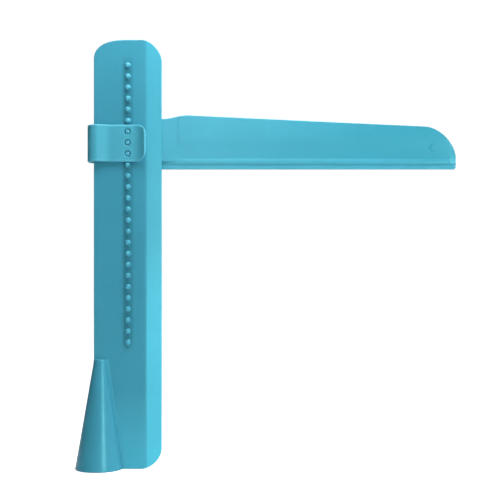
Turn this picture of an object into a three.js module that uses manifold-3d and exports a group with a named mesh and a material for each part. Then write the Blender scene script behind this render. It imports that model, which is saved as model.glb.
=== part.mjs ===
// Adjustable icing smoother for cakes.
// An upright scraper board stands on a hollow cone foot. An arm clips round the board and slides
// up and down it. The spring tab of the clip has three holes that drop over a row of pips.
// Millimetres, +Z up. The front of the tool faces -Y and the arm points along +X.
// The origin is at the middle of the foot's base, in the plane that the foot stands on.

import * as THREE from 'three';
import { mergeVertices } from 'three/addons/utils/BufferGeometryUtils.js';
import Module from 'manifold-3d';

const wasm = await Module();
wasm.setup();

// ---- Driving dimensions ------------------------------------------------------------------

// Scraper board. Its mid-plane is Y = 0, and it cuts the cone in half.
const BOARD_HEIGHT = 250;
const BOARD_LEFT = -3.1;
const BOARD_WIDTH = 39.4;
const BOARD_THICKNESS = 3;
const SCRAPE_BEVEL_WIDTH = 9.5;      // sloping strip along the scraping edge
const SCRAPE_EDGE_THICKNESS = 0.9;   // what is left of the thickness at that edge
const CORNER_TOP_LEFT = { width: 19.2, height: 11.6, power: 2.4 };
const CORNER_TOP_RIGHT = { width: 11, height: 11.8, power: 1.7 };
const CORNER_BOTTOM_RIGHT = { width: 12.2, height: 11.8, power: 1.92 };

// Cone foot, in one moulding with the board. It leans so that its top is flush with the board's
// left edge.
const CONE_BASE_RADIUS = 14;
const CONE_TOP_RADIUS = 4.1;
const CONE_HEIGHT = 63.6;
const CONE_LEAN = 1;
const CONE_WALL = 1.8;
const CONE_RIM_ROUND = 0.6;

// Row of pips that sets the arm's height.
const PIP_COUNT = 26;
const PIP_PITCH = 6.44;
const PIP_RADIUS = 1.45;
const PIP_HEIGHT = 2;
const PIP_COLUMN = 16.8;
const TOP_PIP_Z = 234.9;

// Arm and clip. The clip holds the board with a running gap on each side.
const WALL = 1.8;
const RUNNING_GAP = 0.3;
const HOLE_COUNT = 3;
const HOLE_RADIUS = 2;
const TOP_HOLE_PIP = 6;              // how many pips are above the one in the top hole
const CLIP_HEIGHT = 21.5;
const CLIP_ABOVE_TOP_HOLE = 3.9;
const CLIP_LEFT = -6.9;
const BACK_BEND_RADIUS = 2.6;        // bend radii are those of the wall's middle
const FRONT_BEND_RADIUS = 3.4;
const CROWN_RISE = 1.6;              // how far the crown stands in front of the flat of the tab
const CROWN_DROP_ANGLE = 11.5 * Math.PI / 180;
const TAB_FLARE_START = 21;
const TAB_FLARE_RUN = 6;
const TAB_FLARE_RISE = 3.9;
const TAB_RIGHT = 27.9;
const TAB_CORNER = { width: 6.2, height: 7.2, power: 2 };
const FLEXURE_Y = -0.4;              // where the clip's side wall ends and the spring tab begins
const FLEXURE_GAP = 0.3;

// Blade of the arm.
const BLADE_TIP = 208.7;
const BLADE_BOTTOM = 175.1;
const BLADE_SHOULDER = { x: 51.2, z: 206.8 };
const BLADE_TIP_CORNER = { width: 18, height: 18, power: 1.7 };
const BLADE_TIP_TOP = 200.2;
const BLADE_HEEL_CORNER = { width: 1.7, height: 1.7, power: 2 };
const ROOT_TOP = 204.7;
const ROOT_STEP_TO_CLIP = 12;        // where the plate drops to the clip's height, behind the board
const HEEL_LEFT = 30;                // where the blade's bottom edge ends, behind the board
const PANEL_LEFT = 46.4;
const PANEL_RAISE = 0.25;            // how far the blade's panel stands in front of its root
const RAIL_RIGHT = 204.9;            // the rail has a flat crest between two slopes
const RAIL_TOP = 181.5;
const RAIL_CREST_TOP = 179.9;
const RAIL_CREST_FOOT = 178.5;
const RAIL_FOOT = 177.8;
const RAIL_PROUD = 0.35;
const LIP_RECESS = 0.35;             // under the rail, from the root's face to the lip's
const LIP_RETURN = 0.35;             // how far the lip comes forward again at the bottom
const END_BEVEL_WIDTH = 3.6;
const END_DROP = 0.3;                // how much thinner the far end is than the panel

// How finely curves are cut into straight pieces.
const CORNER_STEPS = 10;
const CONE_SIDES = 56;
const PIP_SIDES = 14;
const HOLE_SIDES = 28;
const BEND_STEPS = 10;

// ---- Dimensions that follow from them ----------------------------------------------------

const boardRight = BOARD_LEFT + BOARD_WIDTH;
const boardFront = -BOARD_THICKNESS / 2;
const boardBack = BOARD_THICKNESS / 2;
const plateFront = boardBack + RUNNING_GAP;
const plateBack = plateFront + WALL;
const plateMiddle = plateFront + WALL / 2;
const tabMiddle = boardFront - RUNNING_GAP - WALL / 2;
const sideMiddle = CLIP_LEFT + WALL / 2;
const topHoleZ = TOP_PIP_Z - TOP_HOLE_PIP * PIP_PITCH;
const clipTop = topHoleZ + CLIP_ABOVE_TOP_HOLE;
const clipBottom = clipTop - CLIP_HEIGHT;
const beyond = 1;                    // how far cutting solids reach past what they cut

// ---- Solids: join, cut and place ---------------------------------------------------------

function toSolid(geometry) {
  const bare = geometry.clone();
  bare.deleteAttribute('normal');
  bare.deleteAttribute('uv');
  const merged = mergeVertices(bare, 1e-4);
  const corners = Array.from(merged.index.array);
  const kept = [];
  for (let i = 0; i < corners.length; i += 3) {
    const [a, b, c] = corners.slice(i, i + 3);
    if (a !== b && b !== c && c !== a) kept.push(a, b, c);
  }
  const mesh = new wasm.Mesh({
    numProp: 3,
    vertProperties: new Float32Array(merged.attributes.position.array),
    triVerts: new Uint32Array(kept),
  });
  return new wasm.Manifold(mesh);
}

function toGeometry(solid) {
  const { vertProperties, triVerts } = solid.getMesh();
  const geometry = new THREE.BufferGeometry();
  geometry.setAttribute('position', new THREE.BufferAttribute(vertProperties, 3));
  geometry.setIndex(new THREE.BufferAttribute(triVerts, 1));
  geometry.computeVertexNormals();
  return geometry;
}

function join(solids) {
  return solids.reduce((whole, solid) => whole.add(solid));
}

// A plate: an outline in X and Z, thick from yFront to yBack.
function plate(outline, yFront, yBack) {
  const options = { depth: yBack - yFront, bevelEnabled: false };
  const geometry = new THREE.ExtrudeGeometry(new THREE.Shape(outline), options);
  geometry.rotateX(Math.PI / 2);
  geometry.translate(0, yBack, 0);
  return toSolid(geometry);
}

// An upright bar: an outline in X and Y, tall from zLow to zHigh.
function upright(outline, zLow, zHigh) {
  const options = { depth: zHigh - zLow, bevelEnabled: false };
  const geometry = new THREE.ExtrudeGeometry(new THREE.Shape(outline), options);
  geometry.translate(0, 0, zLow);
  return toSolid(geometry);
}

// A bar that lies along X: an outline in Y and Z, long from xLow to xHigh.
function lengthwise(outline, xLow, xHigh) {
  const options = { depth: xHigh - xLow, bevelEnabled: false };
  const geometry = new THREE.ExtrudeGeometry(new THREE.Shape(outline), options);
  const alongX = new THREE.Matrix4().makeBasis(
    new THREE.Vector3(0, 1, 0),
    new THREE.Vector3(0, 0, 1),
    new THREE.Vector3(1, 0, 0),
  );
  geometry.applyMatrix4(alongX);
  geometry.translate(xLow, 0, 0);
  return toSolid(geometry);
}

// ---- Outlines ----------------------------------------------------------------------------

const point = (a, b) => new THREE.Vector2(a, b);

// A rounded corner, a quarter of a superellipse. It leaves (x, z + signZ * height) and arrives at
// (x + signX * width, z) when startsAtSide is false, and runs the other way when it is true.
function corner({ width, height, power }, x, z, signX, signZ, startsAtSide) {
  const points = [];
  for (let step = 0; step <= CORNER_STEPS; step += 1) {
    const angle = (Math.PI / 2) * (step / CORNER_STEPS);
    const across = Math.sin(angle) ** (2 / power);
    const up = Math.cos(angle) ** (2 / power);
    points.push(point(x + signX * width * across, z + signZ * height * up));
  }
  return startsAtSide ? points.reverse() : points;
}

// The outline of a strip of even thickness whose middle follows a line of points.
function stripAround(middle, thickness) {
  const sharpestBend = 0.5;          // keeps the mitre short at a sharp bend
  const sides = [1, -1].map((side) => middle.map((here, i) => {
    const before = middle[Math.max(i - 1, 0)];
    const after = middle[Math.min(i + 1, middle.length - 1)];
    const arrive = here.clone().sub(i > 0 ? before : here.clone().multiplyScalar(2).sub(after));
    const leave = (i < middle.length - 1 ? after.clone().sub(here) : here.clone().sub(before));
    const mean = arrive.normalize().add(leave.normalize()).normalize();
    const normal = point(-mean.y, mean.x);
    const reach = (thickness / 2) / Math.max(normal.dot(point(-leave.y, leave.x)), sharpestBend);
    return here.clone().addScaledVector(normal, side * reach);
  }));
  return sides[0].concat(sides[1].reverse());
}

function boardOutline() {
  const topLeft = CORNER_TOP_LEFT;
  const topRight = CORNER_TOP_RIGHT;
  const bottomRight = CORNER_BOTTOM_RIGHT;
  return [
    point(BOARD_LEFT, 0),
    ...corner(bottomRight, boardRight - bottomRight.width, bottomRight.height, 1, -1, false),
    ...corner(topRight, boardRight - topRight.width, BOARD_HEIGHT - topRight.height, 1, 1, true),
    ...corner(topLeft, BOARD_LEFT + topLeft.width, BOARD_HEIGHT - topLeft.height, -1, 1, false),
  ];
}

// The top of the plate swells gently from the root to the shoulder.
function rootToShoulder() {
  const steps = 6;
  const points = [];
  for (let step = steps; step >= 0; step -= 1) {
    const share = step / steps;
    const swell = share * share * (3 - 2 * share);
    const x = boardRight + share * (BLADE_SHOULDER.x - boardRight);
    points.push(point(x, ROOT_TOP + swell * (BLADE_SHOULDER.z - ROOT_TOP)));
  }
  return points;
}

// The blade from its heel up round the tip to the shoulder.
function bladeEnd() {
  const heel = BLADE_HEEL_CORNER;
  const tip = BLADE_TIP_CORNER;
  return [
    ...corner(heel, BLADE_TIP - heel.width, BLADE_BOTTOM + heel.height, 1, -1, false),
    ...corner(tip, BLADE_TIP - tip.width, BLADE_TIP_TOP - tip.height, 1, 1, true),
  ];
}

function armOutline() {
  const clipLeftEnd = sideMiddle + BACK_BEND_RADIUS;
  return [
    point(clipLeftEnd, clipBottom),
    point(HEEL_LEFT - (clipBottom - BLADE_BOTTOM), clipBottom),
    point(HEEL_LEFT, BLADE_BOTTOM),
    ...bladeEnd(),
    ...rootToShoulder(),
    point(ROOT_STEP_TO_CLIP + (ROOT_TOP - clipTop), ROOT_TOP),
    point(ROOT_STEP_TO_CLIP, clipTop),
    point(clipLeftEnd, clipTop),
  ];
}

// The clip's side, seen from above, from the back plate to the gap before the spring tab.
function sideBend() {
  const centre = point(sideMiddle + BACK_BEND_RADIUS, plateMiddle - BACK_BEND_RADIUS);
  const points = [point(centre.x + WALL, plateMiddle)];
  for (let step = 0; step <= BEND_STEPS; step += 1) {
    const angle = (Math.PI / 2) * (1 + step / BEND_STEPS);
    points.push(point(centre.x + BACK_BEND_RADIUS * Math.cos(angle),
      centre.y + BACK_BEND_RADIUS * Math.sin(angle)));
  }
  points.push(point(sideMiddle, FLEXURE_Y + FLEXURE_GAP / 2));
  return points;
}

// The spring tab, seen from above: bend, slope down to the board, flat, and flared lip.
function tabLine() {
  const crownY = tabMiddle - CROWN_RISE;
  const centre = point(sideMiddle + FRONT_BEND_RADIUS, crownY + FRONT_BEND_RADIUS);
  const points = [point(sideMiddle, FLEXURE_Y - FLEXURE_GAP / 2)];
  for (let step = 0; step <= BEND_STEPS; step += 1) {
    const angle = Math.PI + (Math.PI / 2 + CROWN_DROP_ANGLE) * (step / BEND_STEPS);
    points.push(point(centre.x + FRONT_BEND_RADIUS * Math.cos(angle),
      centre.y + FRONT_BEND_RADIUS * Math.sin(angle)));
  }
  const crownEnd = points[points.length - 1];
  const slopeRun = (tabMiddle - crownEnd.y) / Math.tan(CROWN_DROP_ANGLE);
  points.push(point(crownEnd.x + slopeRun, tabMiddle));
  points.push(point(TAB_FLARE_START, tabMiddle));
  points.push(point(TAB_FLARE_START + TAB_FLARE_RUN, tabMiddle - TAB_FLARE_RISE));
  return points;
}

// ---- Sub-parts ---------------------------------------------------------------------------

function turned(profile, sides) {
  return new THREE.LatheGeometry(profile, sides);
}

// Stands a turned geometry up, leaning along X as the cone does.
function leaningUpright(geometry) {
  const lean = new THREE.Matrix4().makeShear(0, 0, 0, 0, CONE_LEAN / CONE_HEIGHT, 0);
  return geometry.rotateX(Math.PI / 2).applyMatrix4(lean);
}

function pip(index) {
  const rise = PIP_HEIGHT / 2;
  const profile = [point(0, -BOARD_THICKNESS / 2), point(PIP_RADIUS, -BOARD_THICKNESS / 2)];
  const domeSteps = 3;
  for (let step = 0; step <= domeSteps; step += 1) {
    const angle = (Math.PI / 2) * (step / domeSteps);
    profile.push(point(PIP_RADIUS * Math.cos(angle), rise + rise * Math.sin(angle)));
  }
  profile[profile.length - 1].x = 0;
  const geometry = turned(profile, PIP_SIDES);
  geometry.rotateX(Math.PI);
  geometry.translate(PIP_COLUMN, boardFront, TOP_PIP_Z - index * PIP_PITCH);
  return toSolid(geometry);
}

function cone(baseRadius, topRadius, height, rimRound) {
  const profile = [
    point(0, 0),
    point(baseRadius - rimRound, 0),
    point(baseRadius, rimRound),
    point(topRadius + rimRound / 2, height - rimRound / 2),
    point(topRadius - rimRound / 2, height),
    point(0, height),
  ];
  return toSolid(leaningUpright(turned(profile, CONE_SIDES)));
}

function hollowCone() {
  const shell = cone(CONE_BASE_RADIUS, CONE_TOP_RADIUS, CONE_HEIGHT, CONE_RIM_ROUND);
  const taper = (CONE_BASE_RADIUS - CONE_TOP_RADIUS) / CONE_HEIGHT;
  const hollowHeight = CONE_HEIGHT - CONE_WALL;
  const hollowTop = CONE_TOP_RADIUS + taper * CONE_WALL - CONE_WALL;
  const hollowBase = CONE_BASE_RADIUS - CONE_WALL + taper * beyond;
  const profile = [
    point(0, -beyond),
    point(hollowBase, -beyond),
    point(hollowTop, hollowHeight),
    point(0, hollowHeight),
  ];
  return shell.subtract(toSolid(leaningUpright(turned(profile, CONE_SIDES))));
}

// What the sloping strip along the scraping edge takes off the board.
function scrapeBevel() {
  const drop = BOARD_THICKNESS - SCRAPE_EDGE_THICKNESS;
  const slope = drop / SCRAPE_BEVEL_WIDTH;
  const outline = [
    point(boardRight - SCRAPE_BEVEL_WIDTH, boardFront),
    point(boardRight - SCRAPE_BEVEL_WIDTH, boardFront - beyond),
    point(boardRight + beyond, boardFront - beyond),
    point(boardRight + beyond, boardFront + drop + slope * beyond),
  ];
  return upright(outline, -beyond, BOARD_HEIGHT + beyond);
}

function scraperBoard() {
  const board = plate(boardOutline(), boardFront, boardBack).subtract(scrapeBevel());
  const pips = [];
  for (let index = 0; index < PIP_COUNT; index += 1) {
    pips.push(pip(index));
  }
  return join([board, hollowCone(), ...pips]);
}

// The panel of the blade stands a little proud of the root.
function raisedPanel() {
  const outline = [
    point(PANEL_LEFT, RAIL_FOOT),
    point(BLADE_TIP, RAIL_FOOT),
    ...bladeEnd().slice(CORNER_STEPS + 1),
    ...rootToShoulder().filter((place) => place.x > PANEL_LEFT),
    point(PANEL_LEFT, ROOT_TOP),
  ];
  return plate(outline, plateFront - PANEL_RAISE, plateBack);
}

// The stiffening rail along the bottom of the blade.
function rail() {
  const crestY = plateFront - RAIL_PROUD;
  const outline = [
    point(plateBack, RAIL_FOOT),
    point(plateBack, RAIL_TOP),
    point(plateFront - PANEL_RAISE, RAIL_TOP),
    point(crestY, RAIL_CREST_TOP),
    point(crestY, RAIL_CREST_FOOT),
    point(plateFront, RAIL_FOOT),
  ];
  return lengthwise(outline, PANEL_LEFT, RAIL_RIGHT);
}

// What the lip under the rail takes off the front of the blade.
function lipCut() {
  const lipTop = plateFront + LIP_RECESS;
  const slope = LIP_RETURN / (RAIL_FOOT - BLADE_BOTTOM);
  const outline = [
    point(lipTop, RAIL_FOOT),
    point(lipTop - LIP_RETURN - slope * beyond, BLADE_BOTTOM - beyond),
    point(plateFront - RAIL_PROUD, BLADE_BOTTOM - beyond),
    point(plateFront - RAIL_PROUD, RAIL_FOOT - RAIL_PROUD / 2),
  ];
  return lengthwise(outline, 0, BLADE_TIP + beyond);
}

// What the bevel takes off the front of the blade's far end.
function endBevel() {
  const front = plateFront - PANEL_RAISE;
  const slope = END_DROP / END_BEVEL_WIDTH;
  const outline = [
    point(BLADE_TIP - END_BEVEL_WIDTH, front),
    point(BLADE_TIP - END_BEVEL_WIDTH, front - RAIL_PROUD),
    point(BLADE_TIP + beyond, front - RAIL_PROUD),
    point(BLADE_TIP + beyond, front + END_DROP + slope * beyond),
  ];
  return upright(outline, BLADE_BOTTOM - beyond, BLADE_TIP_TOP);
}

function slidingArm() {
  const body = plate(armOutline(), plateFront, plateBack);
  const bend = upright(stripAround(sideBend(), WALL).reverse(), clipBottom, clipTop);
  const whole = join([body, bend, raisedPanel(), rail()]);
  return whole.subtract(lipCut()).subtract(endBevel());
}

function tabHole(index) {
  const halfDepth = WALL / 2 + beyond;
  const profile = [
    point(0, -halfDepth),
    point(HOLE_RADIUS, -halfDepth),
    point(HOLE_RADIUS, halfDepth),
    point(0, halfDepth),
  ];
  const geometry = turned(profile, HOLE_SIDES);
  geometry.translate(PIP_COLUMN, tabMiddle, topHoleZ - index * PIP_PITCH);
  return toSolid(geometry);
}

function springTab() {
  const cornerX = TAB_RIGHT - TAB_CORNER.width;
  const outline = [
    point(CLIP_LEFT - beyond, clipBottom),
    ...corner(TAB_CORNER, cornerX, clipBottom + TAB_CORNER.height, 1, -1, false),
    ...corner(TAB_CORNER, cornerX, clipTop - TAB_CORNER.height, 1, 1, true),
    point(CLIP_LEFT - beyond, clipTop),
  ];
  const bottom = clipBottom - beyond;
  const top = clipTop + beyond;
  const strip = upright(stripAround(tabLine(), WALL).reverse(), bottom, top);
  const deepest = tabMiddle - TAB_FLARE_RISE - WALL;
  let tab = strip.intersect(plate(outline, deepest, boardBack));
  for (let index = 0; index < HOLE_COUNT; index += 1) {
    tab = tab.subtract(tabHole(index));
  }
  return tab;
}

// ---- The object --------------------------------------------------------------------------

function bluePlastic() {
  return new THREE.MeshStandardMaterial({ color: 0x3fa4c4, roughness: 0.31, metalness: 0 });
}

function named(name, solid) {
  const mesh = new THREE.Mesh(toGeometry(solid), bluePlastic());
  mesh.name = name;
  return mesh;
}

const smoother = new THREE.Group();
smoother.add(named('scraper_board', scraperBoard()));
smoother.add(named('sliding_arm', slidingArm()));
smoother.add(named('spring_tab', springTab()));

export default smoother;
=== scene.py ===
"""Looks of the adjustable cake smoother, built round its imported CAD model.

Each moulding is described by a signed distance in millimetres: negative inside the plastic, zero on
its surface. Smooth joins and cuts give every edge and corner the small radius of a moulded part. The
surface is then meshed on a grid that is fine where the shape curves and coarse where it runs straight.
"""
import math

import bpy
import numpy as np
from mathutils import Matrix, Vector


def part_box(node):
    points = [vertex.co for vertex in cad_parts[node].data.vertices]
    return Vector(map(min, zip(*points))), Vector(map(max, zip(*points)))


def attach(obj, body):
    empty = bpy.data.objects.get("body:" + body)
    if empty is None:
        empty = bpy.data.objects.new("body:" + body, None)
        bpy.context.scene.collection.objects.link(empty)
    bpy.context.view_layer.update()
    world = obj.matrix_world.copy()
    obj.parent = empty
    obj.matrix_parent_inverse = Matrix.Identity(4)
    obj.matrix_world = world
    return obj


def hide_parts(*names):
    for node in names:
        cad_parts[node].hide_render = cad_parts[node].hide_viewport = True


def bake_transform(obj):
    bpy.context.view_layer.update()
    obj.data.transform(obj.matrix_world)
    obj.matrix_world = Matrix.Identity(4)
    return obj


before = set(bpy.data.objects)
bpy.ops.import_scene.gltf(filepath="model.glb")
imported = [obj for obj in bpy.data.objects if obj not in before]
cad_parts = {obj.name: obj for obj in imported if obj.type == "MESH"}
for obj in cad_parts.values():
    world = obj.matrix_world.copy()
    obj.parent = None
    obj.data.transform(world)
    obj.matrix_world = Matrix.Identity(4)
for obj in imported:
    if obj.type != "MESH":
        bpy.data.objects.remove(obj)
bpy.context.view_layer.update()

MM = 0.001
board_high = np.array(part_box("scraper_board")[1]) / MM
arm_low, arm_high = (np.array(place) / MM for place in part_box("sliding_arm"))
tab_low, tab_high = (np.array(place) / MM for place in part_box("spring_tab"))

# ---- Board and foot, millimetres ------------------------------------------------------------

BOARD_LEFT = -3.1
BOARD_RIGHT = board_high[0]
BOARD_TOP = board_high[2]
BOARD_HALF = 1.5                 # half the thickness; the mid-plane is Y = 0
BEVEL_WIDTH = 9.5
EDGE_THICKNESS = 0.9
CREASE_SOFTNESS = 0.32
BOARD_EDGE_ROUND = 0.45
TOP_LEFT_CORNER = (19.2, 11.6, 2.4)          # a superellipse's width, height and power
TOP_RIGHT_CORNER = (11.0, 11.8, 1.7)
BOTTOM_RIGHT_CORNER = (12.2, 11.8, 1.92)

CONE_BASE = board_high[1]
CONE_TOP = 4.1
CONE_HEIGHT = 63.6
CONE_LEAN = 1.0
CONE_WALL = 1.8
CONE_ROUND = 0.7
FOOT_FILLET = 0.6

PIP_COUNT = 26
PIP_PITCH = 6.44
PIP_RADIUS = 1.45
PIP_HEIGHT = 2.0
PIP_TOP_ROUND = 0.95
PIP_FOOT = 0.5                   # the curve from the face up into the pip's side
PIP_BURIED = 0.4                 # how deep the pip is rooted in the board
PIP_FOOT_SUNK = 0.03             # the foot's rim lies just under the face
PIP_DIMPLE = 0.04
PIP_SIDES = 28
PIP_COLUMN = 16.8
TOP_PIP = 234.9

# ---- Arm and clip, millimetres --------------------------------------------------------------

WALL = 1.8
PLATE_BACK = arm_high[1]
PLATE_FRONT = PLATE_BACK - WALL
PLATE_MIDDLE = PLATE_BACK - WALL / 2
TAB_MIDDLE = -PLATE_MIDDLE
SIDE_MIDDLE = arm_low[0] + WALL / 2
CLIP_BOTTOM = tab_low[2]
CLIP_TOP = tab_high[2]
TAB_CORNER = (6.2, 7.2, 2)
STRIP_ROUND = 0.62
BACK_BEND = 2.6
FRONT_BEND = 4.4
CROWN = 1.6
CROWN_DROP = math.radians(13.5)
FLAT_BEND = 16.0                 # the radius where the crown's slope runs out into the flat
FLARE_START = 19.7
FLARE_BEND = 9.5
FLARE_TURN = math.radians(55)
FLARE_END_ROUND = 0.35
HOLE_RADIUS = 1.7
HOLE_ROUND = 0.5
HOLE_PIPS = (6, 7, 8)            # counted from 0 at the top pip

BLADE_BOTTOM = arm_low[2]
BLADE_TIP = arm_high[0]
SHOULDER_X = 51.2
SHOULDER_Z = arm_high[2]
TIP_TOP = 200.2
TIP_CORNER = (18.0, 18.0, 1.7)
HEEL_CORNER = (1.7, 1.7, 2.0)
ROOT_TOP = 204.7
HEEL_LEFT = 30.0
STEP_TO_CLIP = 12.0
PANEL_LEFT = 46.4
PANEL_RAISE = 0.25
PANEL_STEP = 1.2
PANEL_FADE_LOW = 186.0
PANEL_FADE_HIGH = 194.0
RAIL_RIGHT = 204.9
RAIL_LEFT = 41.0
RAIL_LEFT_RUN = 8.0              # how gradually the rail starts, and how sharply it ends
RAIL_RIGHT_RUN = 0.8
RAIL_TOP = 181.5
RAIL_CREST_TOP = 179.9
RAIL_CREST_FOOT = 178.5
RAIL_FOOT = 177.5
RAIL_PROUD = 0.35
LIP_RECESS = 0.35
LIP_RETURN = 0.35                # how far the lip comes forward again at the bottom
ROOT_RECESS = 1.1                # a hollow under the rail's line, next to the board
ROOT_RECESS_RIGHT = 44.0
ROOT_RECESS_TOP = 179.9
ROOT_RECESS_STEP = 0.6
BLADE_EDGE = 0.9
END_BEVEL = 3.6                  # the bevel round the tip: its width, drop and gradual start
END_DROP = 0.2
END_RUN = 12.0
END_BEYOND = 1.2                 # past the edge the slope goes on to this share of the drop
END_FADE_LOW = 183.0
END_FADE_HIGH = 194.0
TIP_START = BLADE_TIP - TIP_CORNER[0]
EJECTOR_MARK = (195.3, 187.8, 2.1, 0.17)     # across, up, radius, rise
EJECTOR_MARK_SLOPE = 0.3
PLATE_ROUND = 0.45
FRONT_SLOPE_SHARE = 0.9          # scales the distance to the blade's sloping front

# ---- Looks ----------------------------------------------------------------------------------

BOARD_COLOUR = (0.050, 0.302, 0.423)
ARM_COLOUR = (0.072, 0.385, 0.515)
TIP_SHADE_COLOUR = (0.034, 0.308, 0.436)           # painted shade: the arm is darker towards its tip, where less light falls
TIP_FADE = (50.0, 200.0)
ARM_PAINTED_LIGHT_COLOUR = (0.14, 0.58, 0.77)         # painted light, highlights and reflections on the arm and the pips
# painted light on the bevel and on the board beside the foot
BOARD_PAINTED_LIGHT_COLOUR = (0.085, 0.58, 0.77)
BEVEL_PAINTED_LIGHT = (0.22, 0.74)                # painted light for light through the thin bevel, at the top and at the bottom of the board
BEVEL_FADE = (150.0, 80.0)
BEVEL_BLEND = 1.5
BACK_SKIN = 0.2                              # the bevel's painted light stops short of the back
# painted bounce light from the floor on the board beside the foot
FOOT_PAINTED_LIGHT = 0.34
FOOT_FADE = (50.0, 5.0)
CONE_BLEND = 1.5                             # the painted bounce light is not on the cone itself, only on the board beside it
# painted highlight on the tops of the pips
PIP_PAINTED_HIGHLIGHT = (0.62, 0.32)                  # at the top pip, and from PIP_FADE down
PIP_FADE = 150.0
# painted light on the upper blade next to the board
PANEL_PAINTED_LIGHT = 0.24
PANEL_LOW_SHARE = 0.5                        # how much of it is left at the rail
# painted highlight along the clip's rounded rim
RIM_PAINTED_HIGHLIGHT = 0.35
RIM_WIDTH = 1.5
RIM_BLEND = 1.1
# painted reflection on the lip and painted light on the rail, both towards the tip
LIP_PAINTED_REFLECTION = (0.08, 0.32)                  # at the board and at the tip
RAIL_PAINTED_LIGHT = 0.2                          # at the tip
STEP_BLEND = 0.5
PAINTED_PIP_SHADE = 0.76                           # painted shade on the face in a band beside the column of pips
PIP_SHADE_NEAR = 1.6
PIP_SHADE_FAR = 4.0
PIP_SHADE_DEPTH = (0.2, 0.9)                     # it fades out this far off the face
FLOW_MARKS = (0.035, 2, 0.965, 1.035)        # noises: scale per millimetre, detail, low, high
MOTTLE = (0.5, 3, 0.985, 1.015)
GRAIN = (2.2, 2, 0, 1)
GRAIN_STRENGTH = 0.06
GRAIN_DEPTH = 0.02
NOISE_SPAN = (0.3, 0.7)                      # where nearly all of a noise's values lie
ROUGHNESS = 0.33
GLOSS_SPECKLE = (0.25, 4, ROUGHNESS - 0.035, ROUGHNESS + 0.035)
PLASTIC_IOR = 1.49
GLOSS = 0.65
GLOSS_TINT = (0.35, 1.0, 1.0)                # the plastic's gloss is bluish

# ---- Stage, metres --------------------------------------------------------------------------

TOOL_MIDDLE = Vector((0.09, 0, 0.125))
FLOOR_REACH = 6
FLOOR_GREY = (0.9, 0.9, 0.9, 1)
FLOOR_ROUGHNESS = 0.9
FLOOR_GLOW = 0.6                             # near the tool; it rises to white over FLOOR_FADE
FLOOR_FADE = (0.3, 1.6)
WHITE = (1, 1, 1, 1)
WHITE_GLOW = 1.02                            # a little past white, so that nothing grey is left
ROOM_GLOW = 0.08
LAMPS = [                                    # name, azimuth, elevation, distance, size, watts
    ("key", 58, 38, 1.2, 0.5, 3.0),
    ("front", 27, 5, 1.2, 0.22, 3.9),
    ("edge", 110, 20, 0.42, 0.2, 1.3),
    ("top", 0, 75, 0.33, 0.25, 1.45),
    ("back_right", 150, 30, 1.2, 0.6, 1.4),
    ("back_left", -150, 30, 1.2, 0.6, 0.8),
    ("back", 180, 40, 1.2, 0.6, 2.0),
]
CAMERA_PLACE = (0.08788, -0.5, 0.095)
CAMERA_LENS = 61.65
CAMERA_SHIFT = 0.1118
CAMERA_NEAREST = 0.05
CAMERA_FARTHEST = 30


# ---- Distances ------------------------------------------------------------------------------

def round_cut(a, b, radius):
    """The solid inside both a and b, with the edge between them rounded."""
    beyond = np.hypot(np.maximum(a + radius, 0), np.maximum(b + radius, 0))
    return np.minimum(np.maximum(a, b), -radius) + beyond


def round_join(a, b, radius):
    """The solid of a and b together, with a fillet where they meet."""
    return -round_cut(-a, -b, radius)


def soft_cut(a, b, softness):
    """The solid inside both a and b, for two faces that meet at a small angle."""
    return np.maximum(a, b) + np.maximum(softness - np.abs(a - b), 0) ** 2 / (4 * softness)


def ease(t):
    """Goes softly from 0 to 1 while t does."""
    t = np.clip(t, 0, 1)
    return t * t * (3 - 2 * t)


def line_distance(u, v, points):
    """Distance from (u, v) to an open line of points."""
    nearest = None
    for (u0, v0), (u1, v1) in zip(points[:-1], points[1:]):
        du, dv = u1 - u0, v1 - v0
        share = np.clip(((u - u0) * du + (v - v0) * dv) / (du * du + dv * dv), 0, 1)
        distance = np.hypot(u - u0 - share * du, v - v0 - share * dv)
        nearest = distance if nearest is None else np.minimum(nearest, distance)
    return nearest


def outline_distance(u, v, points):
    """Signed distance from (u, v) to a closed outline, negative inside it."""
    inside = np.zeros(np.broadcast(u, v).shape, bool)
    for (u0, v0), (u1, v1) in zip(points, points[1:] + points[:1]):
        if v0 == v1:
            continue
        crosses = (v0 <= v) != (v1 <= v)
        inside ^= crosses & (u < u0 + (v - v0) * (u1 - u0) / (v1 - v0))
    distance = line_distance(u, v, points + points[:1])
    return np.where(inside, -distance, distance)


def corner(size, u, v, side_u, side_v, from_side=False, steps=24):
    """A quarter of a superellipse, from above or below (u, v) round to its side, or back."""
    width, height, power = size
    points = []
    for step in range(steps + 1):
        angle = math.pi / 2 * step / steps
        across = math.sin(angle) ** (2 / power)
        up = math.cos(angle) ** (2 / power)
        points.append((u + side_u * width * across, v + side_v * height * up))
    return points[::-1] if from_side else points


def arc(centre, radius, start, turn, steps=16):
    """Points of a round bend."""
    angles = [start + turn * step / steps for step in range(steps + 1)]
    return [(centre[0] + radius * math.cos(a), centre[1] + radius * math.sin(a)) for a in angles]


# ---- The board's shape ----------------------------------------------------------------------

def board_outline():
    """The board from the front, anticlockwise from its square bottom left corner."""
    bottom_right, top_right, top_left = BOTTOM_RIGHT_CORNER, TOP_RIGHT_CORNER, TOP_LEFT_CORNER
    return [
        (BOARD_LEFT, 0.0),
        *corner(bottom_right, BOARD_RIGHT - bottom_right[0], bottom_right[1], 1, -1),
        *corner(top_right, BOARD_RIGHT - top_right[0], BOARD_TOP - top_right[1], 1, 1, True),
        *corner(top_left, BOARD_LEFT + top_left[0], BOARD_TOP - top_left[1], -1, 1),
    ]


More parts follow.
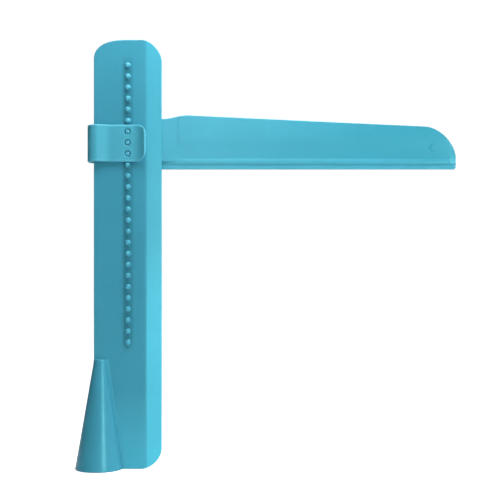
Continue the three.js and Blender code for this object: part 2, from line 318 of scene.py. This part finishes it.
def foot_distance(x, y, z):
    """The hollow cone, leaning along X."""
    radius = np.hypot(x - CONE_LEAN * z / CONE_HEIGHT, y)
    taper = (CONE_BASE - CONE_TOP) / CONE_HEIGHT
    level = 1 / math.hypot(1, taper)
    flank = (radius - CONE_BASE + taper * z) * level
    ends = np.abs(z - CONE_HEIGHT / 2) - CONE_HEIGHT / 2
    hollow = np.maximum(flank + CONE_WALL, z - CONE_HEIGHT + CONE_WALL)
    return round_cut(round_cut(flank, ends, CONE_ROUND), -hollow, CONE_ROUND)


def board_distance(x, y, z):
    """The board with its bevelled right edge, joined to the foot and cut level with the floor."""
    slope = math.atan2(2 * BOARD_HALF - EDGE_THICKNESS, BEVEL_WIDTH)
    along = x - BOARD_RIGHT + BEVEL_WIDTH
    bevel = along * math.sin(slope) - (y + BOARD_HALF) * math.cos(slope)
    front = soft_cut(-y - BOARD_HALF, bevel, CREASE_SOFTNESS)
    slab = np.maximum(front, y - BOARD_HALF)
    board = round_cut(outline_distance(x, z, board_outline()), slab, BOARD_EDGE_ROUND)
    return np.maximum(round_join(board, foot_distance(x, y, z), FOOT_FILLET), -z)


# ---- The arm's shape ------------------------------------------------------------------------

def arm_outline():
    """The back plate and blade from the front, anticlockwise from the clip's bottom corner."""
    left = SIDE_MIDDLE + BACK_BEND
    steps = 12
    rise = []
    for step in range(steps, -1, -1):
        share = step / steps
        across = BOARD_RIGHT + share * (SHOULDER_X - BOARD_RIGHT)
        rise.append((across, ROOT_TOP + float(ease(share)) * (SHOULDER_Z - ROOT_TOP)))
    return [
        (left, CLIP_BOTTOM),
        (HEEL_LEFT - (CLIP_BOTTOM - BLADE_BOTTOM), CLIP_BOTTOM),
        (HEEL_LEFT, BLADE_BOTTOM),
        *corner(HEEL_CORNER, BLADE_TIP - HEEL_CORNER[0], BLADE_BOTTOM + HEEL_CORNER[1], 1, -1),
        *corner(TIP_CORNER, BLADE_TIP - TIP_CORNER[0], TIP_TOP - TIP_CORNER[1], 1, 1, True),
        *rise,
        (STEP_TO_CLIP + (ROOT_TOP - CLIP_TOP), ROOT_TOP),
        (STEP_TO_CLIP, CLIP_TOP),
        (left, CLIP_TOP),
    ]


def bend_at(here, before, after, radius, steps=8):
    """A corner of a line turned into an arc, near enough."""
    here, before, after = (np.array(place) for place in (here, before, after))
    arrive = (here - before) / np.linalg.norm(here - before)
    leave = (after - here) / np.linalg.norm(after - here)
    turn = math.acos(float(arrive @ leave))
    reach = radius * math.tan(turn / 2)
    start, end = here - arrive * reach, here + leave * reach
    shares = [step / steps for step in range(steps + 1)]
    return [tuple((1 - s) ** 2 * start + 2 * s * (1 - s) * here + s * s * end) for s in shares]


def clip_line():
    """The middle of the clip's wall from above: back plate, side, crown, tab and flared lip."""
    back = (SIDE_MIDDLE + BACK_BEND, PLATE_MIDDLE - BACK_BEND)
    front = (SIDE_MIDDLE + FRONT_BEND, TAB_MIDDLE - CROWN + FRONT_BEND)
    crown = arc(front, FRONT_BEND, math.pi, math.pi / 2 + CROWN_DROP)
    run = (TAB_MIDDLE - crown[-1][1]) / math.tan(CROWN_DROP)
    flat = (crown[-1][0] + run, TAB_MIDDLE)
    flare = (FLARE_START, TAB_MIDDLE)
    return [
        (back[0] + 2 * WALL, PLATE_MIDDLE),
        *arc(back, BACK_BEND, math.pi / 2, math.pi / 2),
        *crown,
        *bend_at(flat, crown[-1], flare, FLAT_BEND),
        *arc((FLARE_START, TAB_MIDDLE - FLARE_BEND), FLARE_BEND, math.pi / 2, -FLARE_TURN),
    ]


def clip_edge(x, z):
    """Distance from the clip's outline, seen from the front."""
    end_x = clip_line()[-1][0] + WALL / 2 * math.sin(FLARE_TURN)
    left = arm_low[0] - 5 * WALL
    across, up, _ = TAB_CORNER
    return outline_distance(x, z, [
        (left, CLIP_BOTTOM),
        *corner(TAB_CORNER, end_x - across, CLIP_BOTTOM + up, 1, -1),
        *corner(TAB_CORNER, end_x - across, CLIP_TOP - up, 1, 1, True),
        (left, CLIP_TOP),
    ])


def clip_distance(x, y, z):
    """The bent strip of the clip, cut to its outline, with the index holes through its front."""
    line = clip_line()
    strip = line_distance(x, y, line) - WALL / 2
    (end_x, end_y), turn = line[-1], FLARE_TURN
    past_end = (x - end_x) * math.cos(turn) - (y - end_y) * math.sin(turn)
    strip = round_cut(strip, np.where(x > FLARE_START, past_end, -WALL), FLARE_END_ROUND)
    clip = round_cut(strip, clip_edge(x, z), STRIP_ROUND)
    for index in HOLE_PIPS:
        across = np.hypot(x - PIP_COLUMN, z - (TOP_PIP - index * PIP_PITCH)) - HOLE_RADIUS
        clip = round_cut(clip, -np.maximum(across, y), HOLE_ROUND)
    return clip


def blade_front(x, z, inside):
    """How far back the front of the blade lies. inside is the distance in from the outline."""
    out_of_root = ease((x - PANEL_LEFT + PANEL_STEP) / PANEL_STEP)
    upper = ease((z - PANEL_FADE_LOW) / (PANEL_FADE_HIGH - PANEL_FADE_LOW))
    front = PLATE_FRONT - PANEL_RAISE * out_of_root * upper

    climb = np.clip((RAIL_TOP - z) / (RAIL_TOP - RAIL_CREST_TOP), 0, 1)
    fall = ease((z - RAIL_FOOT) / (RAIL_CREST_FOOT - RAIL_FOOT))
    along = ease((x - RAIL_LEFT) / RAIL_LEFT_RUN) * ease((RAIL_RIGHT - x) / RAIL_RIGHT_RUN)
    front = front + (PLATE_FRONT - RAIL_PROUD - front) * climb * fall * along

    down_lip = np.clip((RAIL_FOOT - z) / (RAIL_FOOT - BLADE_BOTTOM), 0, 1)
    near_root = np.clip((ROOT_RECESS_RIGHT - x) / (ROOT_RECESS_RIGHT - BOARD_RIGHT), 0, 1)
    recess = ROOT_RECESS * near_root * ease((ROOT_RECESS_TOP - z) / ROOT_RECESS_STEP)
    front = front + (LIP_RECESS - LIP_RETURN * down_lip) * (1 - fall) + recess

    low_down = ease((END_FADE_HIGH - z) / (END_FADE_HIGH - END_FADE_LOW))
    narrowest = 0.1
    end_width = np.maximum(END_BEVEL * ease((x - TIP_START) / END_RUN) * low_down, narrowest)
    toward_end = np.clip(1 - inside / end_width, 0, END_BEYOND)
    front = front + END_DROP * toward_end * (x > TIP_START)

    mark_x, mark_z, mark_radius, mark_rise = EJECTOR_MARK
    inside_mark = mark_radius - np.hypot(x - mark_x, z - mark_z)
    on_mark = ease(inside_mark / EJECTOR_MARK_SLOPE)
    return np.minimum(front - mark_rise * on_mark, PLATE_BACK - BLADE_EDGE / 2)


def blade_distance(x, y, z):
    """The back plate and blade, between their flat back and their moulded front."""
    edge = outline_distance(x, z, arm_outline())
    front = blade_front(x, z, -edge)
    slab = np.maximum((front - y) * FRONT_SLOPE_SHARE, y - PLATE_BACK)
    return round_cut(edge, slab, PLATE_ROUND)


def arm_distance(x, y, z):
    """The whole second moulding."""
    return np.minimum(blade_distance(x, y, z), clip_distance(x, y, z))


# ---- Meshing --------------------------------------------------------------------------------

def ruler(*stretches, end):
    """Grid lines. Each stretch is (start, spacing); the last one stops at end."""
    starts = [start for start, _ in stretches] + [end]
    lines = []
    for (start, spacing), stop in zip(stretches, starts[1:]):
        count = max(1, round((stop - start) / spacing))
        lines.extend(np.linspace(start, stop, count, endpoint=False))
    return np.array(lines + [end])


def surface_net(distance, xs, ys, zs):
    """Vertices and four-sided faces of the surface where distance is zero."""
    field = distance(xs[:, None, None], ys[None, :, None], zs[None, None, :])
    inside = field < 0
    cells = tuple(n - 1 for n in field.shape)
    rulers = (xs, ys, zs)
    cell_ids, crossings, quads = [], [], []
    for axis in range(3):
        low = [slice(None)] * 3
        high = [slice(None)] * 3
        low[axis], high[axis] = slice(None, -1), slice(1, None)
        low, high = tuple(low), tuple(high)
        at = np.argwhere(inside[low] != inside[high])
        after = at.copy()
        after[:, axis] += 1
        value, next_value = field[tuple(at.T)], field[tuple(after.T)]
        share = value / (value - next_value)
        place = np.stack([rulers[i][at[:, i]] for i in range(3)], axis=1)
        place[:, axis] += share * (rulers[axis][after[:, axis]] - rulers[axis][at[:, axis]])
        one, two = (axis + 1) % 3, (axis + 2) % 3
        ring = []
        for step_one, step_two in ((0, 0), (-1, 0), (-1, -1), (0, -1)):
            cell = at.copy()
            cell[:, one] += step_one
            cell[:, two] += step_two
            ids = np.ravel_multi_index(tuple(cell.T), cells)
            ring.append(ids)
            cell_ids.append(ids)
            crossings.append(place)
        quad = np.stack(ring, axis=1)
        outward = inside[low][tuple(at.T)]
        quad[~outward] = quad[~outward][:, ::-1]
        quads.append(quad)
    used, where = np.unique(np.concatenate(cell_ids), return_inverse=True)
    places = np.concatenate(crossings)
    count = np.bincount(where)
    vertices = np.stack([np.bincount(where, places[:, i]) / count for i in range(3)], axis=1)
    faces = np.searchsorted(used, np.concatenate(quads))
    return vertices, faces


def settle(vertices, distance, rounds=2):
    """Moves the vertices onto the true surface."""
    reach = 0.01
    limit = 0.15
    gentlest = 0.25
    for _ in range(rounds):
        x, y, z = vertices.T
        here = distance(x, y, z)
        slope = np.stack([
            (distance(x + reach, y, z) - distance(x - reach, y, z)) / (2 * reach),
            (distance(x, y + reach, z) - distance(x, y - reach, z)) / (2 * reach),
            (distance(x, y, z + reach) - distance(x, y, z - reach)) / (2 * reach),
        ], axis=1)
        steep = np.maximum((slope ** 2).sum(axis=1), gentlest)
        step = -slope * (here / steep)[:, None]
        vertices = vertices + np.clip(step, -limit, limit)
    return vertices


def board_painted_light(x, y, z):
    """Painted light: on the bevel it stands in for light that comes through the thin plastic, and on
    the board beside the foot for bounce light from the floor, growing towards the floor.
    """
    high, low = BEVEL_PAINTED_LIGHT
    bevel = high + (low - high) * ease((z - BEVEL_FADE[0]) / (BEVEL_FADE[1] - BEVEL_FADE[0]))
    before_back = y < BOARD_HALF - BACK_SKIN
    on_bevel = ease((x - BOARD_RIGHT + BEVEL_WIDTH) / BEVEL_BLEND) * before_back
    beside_cone = ease(foot_distance(x, y, z) / CONE_BLEND)
    foot = FOOT_PAINTED_LIGHT * ease((z - FOOT_FADE[0]) / (FOOT_FADE[1] - FOOT_FADE[0])) * beside_cone
    return np.maximum(bevel * on_bevel, foot)


def arm_painted_light(x, y, z):
    """Painted light: a highlight along the clip's rim, light on the upper part of the blade next to
    the board, a reflection on the lip under the rail, and light on the rail towards the tip.
    """
    rim = RIM_PAINTED_HIGHLIGHT * ease((clip_edge(x, z) + RIM_WIDTH) / RIM_BLEND) * (y < 0)
    toward_board = np.clip((BLADE_TIP - x) / (BLADE_TIP - PANEL_LEFT), 0, 1) * (x > BOARD_RIGHT)
    upper = ease((z - RAIL_TOP) / (SHOULDER_Z - RAIL_TOP))
    toward_tip = ease((x - TIP_FADE[0]) / (TIP_FADE[1] - TIP_FADE[0]))
    on_lip = ease((RAIL_FOOT - z) / STEP_BLEND) * (x > BOARD_RIGHT)
    lip = (LIP_PAINTED_REFLECTION[0] + (LIP_PAINTED_REFLECTION[1] - LIP_PAINTED_REFLECTION[0]) * toward_tip) * on_lip
    rail = RAIL_PAINTED_LIGHT * toward_tip * ease((RAIL_TOP - z) / STEP_BLEND) * (1 - on_lip)
    panel = PANEL_PAINTED_LIGHT * toward_board * (PANEL_LOW_SHARE + (1 - PANEL_LOW_SHARE) * upper)
    return rim + lip + rail + panel


def pip_painted_highlight(x, y, z):
    """A painted highlight on the tops of the pips, stronger on the upper ones."""
    high, low = PIP_PAINTED_HIGHLIGHT
    on_top = ease((-BOARD_HALF - y) / PIP_HEIGHT * 2 - 1)
    return (low + (high - low) * ease((z - PIP_FADE) / (TOP_PIP - PIP_FADE))) * on_top


def mesh_object(name, vertices, faces, painted_light):
    """A smooth-shaded object. It keeps each vertex's place at rest for its material's patterns, and
    each vertex's share of painted light.
    """
    mesh = bpy.data.meshes.new(name)
    mesh.from_pydata((vertices * MM).tolist(), [], faces)
    mesh.validate()
    mesh.shade_smooth()
    rest = mesh.attributes.new("rest_place", "FLOAT_VECTOR", "POINT")
    places = np.array([v.co for v in mesh.vertices]) / MM
    rest.data.foreach_set("vector", places.astype(np.float32).ravel())
    pale = mesh.attributes.new("painted_light", "FLOAT", "POINT")
    pale.data.foreach_set("value", painted_light(*places.T).astype(np.float32))
    piece = bpy.data.objects.new(name, mesh)
    bpy.context.scene.collection.objects.link(piece)
    return piece


def moulded_piece(name, distance, painted_light, xs, ys, zs):
    """The surface of a signed distance as an object."""
    vertices, faces = surface_net(distance, xs, ys, zs)
    return mesh_object(name, settle(vertices, distance), faces.tolist(), painted_light)


def board_object():
    """The board and foot. The grid is fine at the floor, the crease, the edges and the cone's top."""
    crease = BOARD_RIGHT - BEVEL_WIDTH
    near = BOARD_HALF + 0.7
    xs = ruler((-CONE_BASE - 1, 0.4), (BOARD_LEFT - 0.6, 0.2), (BOARD_LEFT + 0.8, 0.4),
               (crease - 1.3, 0.25), (crease + 2.2, 0.4), (BOARD_RIGHT - 1, 0.15),
               end=BOARD_RIGHT + 1)
    ys = ruler((-CONE_BASE - 1, 0.4), (-near, 0.15), (near, 0.4), end=CONE_BASE + 1)
    zs = ruler((-1, 0.2), (1.4, 0.7), (CONE_HEIGHT - 2, 0.25), (CONE_HEIGHT + 1.5, 3),
               (BOARD_TOP - 14, 0.4), (BOARD_TOP - 1.5, 0.2), end=BOARD_TOP + 1)
    return moulded_piece("board_and_foot", board_distance, board_painted_light, xs, ys, zs)


def arm_object():
    """The arm and clip. The grid is fine at the clip and the tip, and coarse along the blade."""
    xs = ruler((arm_low[0] - 1, 0.3), (PIP_COLUMN - 3, 0.2), (PIP_COLUMN + 3, 0.3),
               (HEEL_LEFT + 1, 0.6), (SHOULDER_X - 1.2, 3), (TIP_START - 4.7, 0.45),
               end=BLADE_TIP + 1)
    ys = ruler((tab_low[1] - 2, 0.18), end=PLATE_BACK + 0.9)
    zs = ruler((BLADE_BOTTOM - 1, 0.22), (RAIL_TOP + 1, 0.26), end=SHOULDER_Z + 1)
    return moulded_piece("arm_and_clip", arm_distance, arm_painted_light, xs, ys, zs)


def pip_profile(foot_steps=4, top_steps=5):
    """Radius and rise of a pip: a foot that runs out level with the board, and a soft flat top."""
    profile = [(PIP_RADIUS, -PIP_BURIED), (PIP_RADIUS + PIP_FOOT, -PIP_FOOT_SUNK)]
    for step in range(1, foot_steps + 1):
        angle = math.pi / 2 * step / foot_steps
        across = PIP_RADIUS + PIP_FOOT * (1 - math.sin(angle))
        profile.append((across, PIP_FOOT * (1 - math.cos(angle))))
    for step in range(top_steps + 1):
        angle = math.pi / 2 * step / top_steps
        across = PIP_RADIUS - PIP_TOP_ROUND * (1 - math.cos(angle))
        profile.append((across, PIP_HEIGHT - PIP_TOP_ROUND * (1 - math.sin(angle))))
    profile.append(((PIP_RADIUS - PIP_TOP_ROUND) / 2, PIP_HEIGHT - PIP_DIMPLE))
    return profile


def pip_vertices(profile, height):
    """The rings of one pip, from its root to its top."""
    turns = [2 * math.pi * side / PIP_SIDES for side in range(PIP_SIDES)]
    return [
        (PIP_COLUMN + radius * math.cos(turn), -BOARD_HALF - rise, height + radius * math.sin(turn))
        for radius, rise in profile
        for turn in turns
    ]


def pip_faces(ring_count, base):
    """The faces of one pip, whose first vertex has the number base."""
    faces = []
    for ring in range(ring_count - 1):
        low = base + ring * PIP_SIDES
        high = low + PIP_SIDES
        for side in range(PIP_SIDES):
            following = (side + 1) % PIP_SIDES
            faces.append((low + side, low + following, high + following, high + side))
    top = base + (ring_count - 1) * PIP_SIDES
    faces.append(tuple(range(top, top + PIP_SIDES)))
    faces.append(tuple(range(base + PIP_SIDES - 1, base - 1, -1)))
    return faces


def pips_object():
    """The column of pips, all alike."""
    profile = pip_profile()
    vertices, faces = [], []
    for index in range(PIP_COUNT):
        faces.extend(pip_faces(len(profile), len(vertices)))
        vertices.extend(pip_vertices(profile, TOP_PIP - index * PIP_PITCH))
    return mesh_object("board_pips", np.array(vertices), faces, pip_painted_highlight)


# ---- Material -------------------------------------------------------------------------------

def speckle(nodes, links, place, scale, detail, low, high):
    """A noise of the surface's rest place, in millimetres, spread over low to high."""
    noise = nodes.new("ShaderNodeTexNoise")
    noise.inputs["Scale"].default_value = scale
    noise.inputs["Detail"].default_value = detail
    links.new(place, noise.inputs["Vector"])
    spread = nodes.new("ShaderNodeMapRange")
    spread.inputs["From Min"].default_value = NOISE_SPAN[0]
    spread.inputs["From Max"].default_value = NOISE_SPAN[1]
    spread.inputs["To Min"].default_value = low
    spread.inputs["To Max"].default_value = high
    links.new(noise.outputs["Fac"], spread.inputs["Value"])
    return spread.outputs["Result"]


def math_node(nodes, links, operation, a, b=0.0):
    """One step of arithmetic on two values, each a number or a socket."""
    node = nodes.new("ShaderNodeMath")
    node.operation = operation
    for value, socket in zip((a, b), node.inputs):
        if isinstance(value, float):
            socket.default_value = value
        else:
            links.new(value, socket)
    return node.outputs["Value"]


def fade(nodes, links, value, start, end, low=0.0, high=1.0):
    """Goes softly from low to high while the value goes from start to end."""
    node = nodes.new("ShaderNodeMapRange")
    node.interpolation_type = "SMOOTHSTEP"
    for name, number in (("From Min", start), ("From Max", end), ("To Min", low), ("To Max", high)):
        node.inputs[name].default_value = number
    links.new(value, node.inputs["Value"])
    return node.outputs["Result"]


def pip_painted_shade(nodes, links, place):
    """Painted shade: how dark the face of the board is in a band beside the column of pips."""
    split = nodes.new("ShaderNodeSeparateXYZ")
    links.new(place, split.inputs["Vector"])
    off_column = math_node(nodes, links, "SUBTRACT", split.outputs["X"], PIP_COLUMN)
    off_column = math_node(nodes, links, "ABSOLUTE", off_column)
    beside = fade(nodes, links, off_column, PIP_SHADE_NEAR, PIP_SHADE_FAR, 1.0, 0.0)
    bottom_pip = TOP_PIP - (PIP_COUNT - 1) * PIP_PITCH
    above = fade(nodes, links, split.outputs["Z"], bottom_pip - PIP_PITCH, bottom_pip)
    below = fade(nodes, links, split.outputs["Z"], TOP_PIP, TOP_PIP + PIP_PITCH, 1.0, 0.0)
    off_face = math_node(nodes, links, "ADD", split.outputs["Y"], BOARD_HALF)
    off_face = math_node(nodes, links, "ABSOLUTE", off_face)
    on_face = fade(nodes, links, off_face, *PIP_SHADE_DEPTH, 1.0, 0.0)
    pip_shade = math_node(nodes, links, "MULTIPLY", beside, above)
    pip_shade = math_node(nodes, links, "MULTIPLY", pip_shade, below)
    pip_shade = math_node(nodes, links, "MULTIPLY", pip_shade, on_face)
    pip_shade = math_node(nodes, links, "MULTIPLY", pip_shade, PAINTED_PIP_SHADE - 1)
    return math_node(nodes, links, "ADD", pip_shade, 1.0)


def mixed_colour(nodes, links, factor, start, end):
    """Turns from the colour start to the colour end. start may be a socket."""
    mix = nodes.new("ShaderNodeMix")
    mix.data_type = "RGBA"
    links.new(factor, mix.inputs["Factor"])
    mix.inputs["B"].default_value = (*end, 1)
    if isinstance(start, tuple):
        mix.inputs["A"].default_value = (*start, 1)
    else:
        links.new(start, mix.inputs["A"])
    return mix.outputs["Result"]


def plastic_colour(nodes, links, place, colour, tip_colour, painted_light_colour, has_pip_shade):
    """The colour along the piece: painted shade towards the arm's tip, painted light where the
    vertices carry it, painted shade beside the pips, and faint flow marks.
    """
    split = nodes.new("ShaderNodeSeparateXYZ")
    links.new(place, split.inputs["Vector"])
    toward_tip = fade(nodes, links, split.outputs["X"], *TIP_FADE)
    tone = mixed_colour(nodes, links, toward_tip, colour, tip_colour)
    painted_light = nodes.new("ShaderNodeAttribute")
    painted_light.attribute_name = "painted_light"
    tone = mixed_colour(nodes, links, painted_light.outputs["Fac"], tone, painted_light_colour)
    flow = speckle(nodes, links, place, *FLOW_MARKS)
    mottle = speckle(nodes, links, place, *MOTTLE)
    strength = math_node(nodes, links, "MULTIPLY", mottle, flow)
    if has_pip_shade:
        strength = math_node(nodes, links, "MULTIPLY", strength, pip_painted_shade(nodes, links, place))
    shade = nodes.new("ShaderNodeVectorMath")
    shade.operation = "SCALE"
    links.new(tone, shade.inputs[0])
    links.new(strength, shade.inputs["Scale"])
    return shade.outputs["Vector"]


def mould_grain(nodes, links, place):
    """The fine grain that the mould leaves on the surface."""
    bump = nodes.new("ShaderNodeBump")
    bump.inputs["Strength"].default_value = GRAIN_STRENGTH
    bump.inputs["Distance"].default_value = GRAIN_DEPTH * MM
    links.new(speckle(nodes, links, place, *GRAIN), bump.inputs["Height"])
    return bump.outputs["Normal"]


def blue_plastic(name, colour, tip_colour, painted_light_colour, has_pip_shade=False):
    """Satin moulded plastic, with uneven gloss and a fine mould grain."""
    material = bpy.data.materials.new(name)
    material.use_nodes = True
    nodes, links = material.node_tree.nodes, material.node_tree.links
    shader = nodes["Principled BSDF"]
    rest = nodes.new("ShaderNodeAttribute")
    rest.attribute_name = "rest_place"
    place = rest.outputs["Vector"]
    tint = plastic_colour(nodes, links, place, colour, tip_colour, painted_light_colour, has_pip_shade)
    links.new(tint, shader.inputs["Base Color"])
    links.new(speckle(nodes, links, place, *GLOSS_SPECKLE), shader.inputs["Roughness"])
    links.new(mould_grain(nodes, links, place), shader.inputs["Normal"])
    shader.inputs["IOR"].default_value = PLASTIC_IOR
    shader.inputs["Specular IOR Level"].default_value = GLOSS
    shader.inputs["Specular Tint"].default_value = (*GLOSS_TINT, 1)
    return material


def board_plastic():
    # the board carries the painted shade beside the pips
    return blue_plastic("board_plastic", BOARD_COLOUR, BOARD_COLOUR, BOARD_PAINTED_LIGHT_COLOUR, has_pip_shade=True)


def pip_plastic():
    return blue_plastic("pip_plastic", BOARD_COLOUR, BOARD_COLOUR, ARM_PAINTED_LIGHT_COLOUR)


def arm_plastic():
    return blue_plastic("arm_plastic", ARM_COLOUR, TIP_SHADE_COLOUR, ARM_PAINTED_LIGHT_COLOUR)


# ---- Lamps, floor, backdrop and camera ------------------------------------------------------

def lamp(name, azimuth, elevation, distance, size, power):
    """A soft box that faces the tool. The azimuth is from the front, towards +X."""
    data = bpy.data.lights.new(name, "AREA")
    data.size = size
    data.energy = power
    around, up = math.radians(azimuth), math.radians(elevation)
    away = Vector((math.sin(around) * math.cos(up), -math.cos(around) * math.cos(up), math.sin(up)))
    light = bpy.data.objects.new(name, data)
    bpy.context.scene.collection.objects.link(light)
    light.visible_camera = False
    light.location = TOOL_MIDDLE + distance * away
    light.rotation_euler = away.to_track_quat("Z", "Y").to_euler()


def floor():
    """A pale floor that runs out to white, as a lit paper sweep does."""
    reach = FLOOR_REACH
    corners = [(-reach, -reach, 0), (reach, -reach, 0), (reach, reach, 0), (-reach, reach, 0)]
    mesh = bpy.data.meshes.new("floor")
    mesh.from_pydata(corners, [], [(0, 1, 2, 3)])
    material = bpy.data.materials.new("pale_floor")
    material.use_nodes = True
    nodes, links = material.node_tree.nodes, material.node_tree.links
    shader = nodes["Principled BSDF"]
    shader.inputs["Base Color"].default_value = FLOOR_GREY
    shader.inputs["Roughness"].default_value = FLOOR_ROUGHNESS
    shader.inputs["Emission Color"].default_value = WHITE
    rays = nodes.new("ShaderNodeLightPath")
    place = nodes.new("ShaderNodeNewGeometry")
    outward = nodes.new("ShaderNodeVectorMath")
    outward.operation = "LENGTH"
    links.new(place.outputs["Position"], outward.inputs[0])
    glow = fade(nodes, links, outward.outputs["Value"], *FLOOR_FADE, FLOOR_GLOW, WHITE_GLOW)
    seen = math_node(nodes, links, "MULTIPLY", glow, rays.outputs["Is Camera Ray"])
    links.new(seen, shader.inputs["Emission Strength"])
    mesh.materials.append(material)
    plane = bpy.data.objects.new("floor", mesh)
    bpy.context.scene.collection.objects.link(plane)


def white_room():
    """A white backdrop that lights the tool only a little."""
    world = bpy.data.worlds.new("studio")
    world.use_nodes = True
    bpy.context.scene.world = world
    nodes, links = world.node_tree.nodes, world.node_tree.links
    rays = nodes.new("ShaderNodeLightPath")
    strength = nodes.new("ShaderNodeMapRange")
    strength.inputs["To Min"].default_value = ROOM_GLOW
    strength.inputs["To Max"].default_value = WHITE_GLOW
    links.new(rays.outputs["Is Camera Ray"], strength.inputs["Value"])
    links.new(strength.outputs["Result"], nodes["Background"].inputs["Strength"])
    nodes["Background"].inputs["Color"].default_value = WHITE


def camera():
    """Level, square to the board. Its shift puts the level of the lens below the frame's middle."""
    data = bpy.data.cameras.new("camera")
    data.lens = CAMERA_LENS
    data.shift_y = CAMERA_SHIFT
    data.clip_start = CAMERA_NEAREST
    data.clip_end = CAMERA_FARTHEST
    view = bpy.data.objects.new("camera", data)
    view.location = CAMERA_PLACE
    view.rotation_euler = (math.pi / 2, 0, 0)
    bpy.context.scene.collection.objects.link(view)
    bpy.context.scene.camera = view


# ---- The scene ------------------------------------------------------------------------------

board = board_object()
pips = pips_object()
arm = arm_object()
for piece, plastic in ((board, board_plastic()), (pips, pip_plastic()), (arm, arm_plastic())):
    piece.data.materials.append(plastic)

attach(board, "board")
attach(pips, "board")
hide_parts("scraper_board")
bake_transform(arm)
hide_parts("sliding_arm", "spring_tab")

floor()
white_room()
for settings in LAMPS:
    lamp(*settings)
camera()
bpy.context.scene.view_settings.view_transform = "Standard"
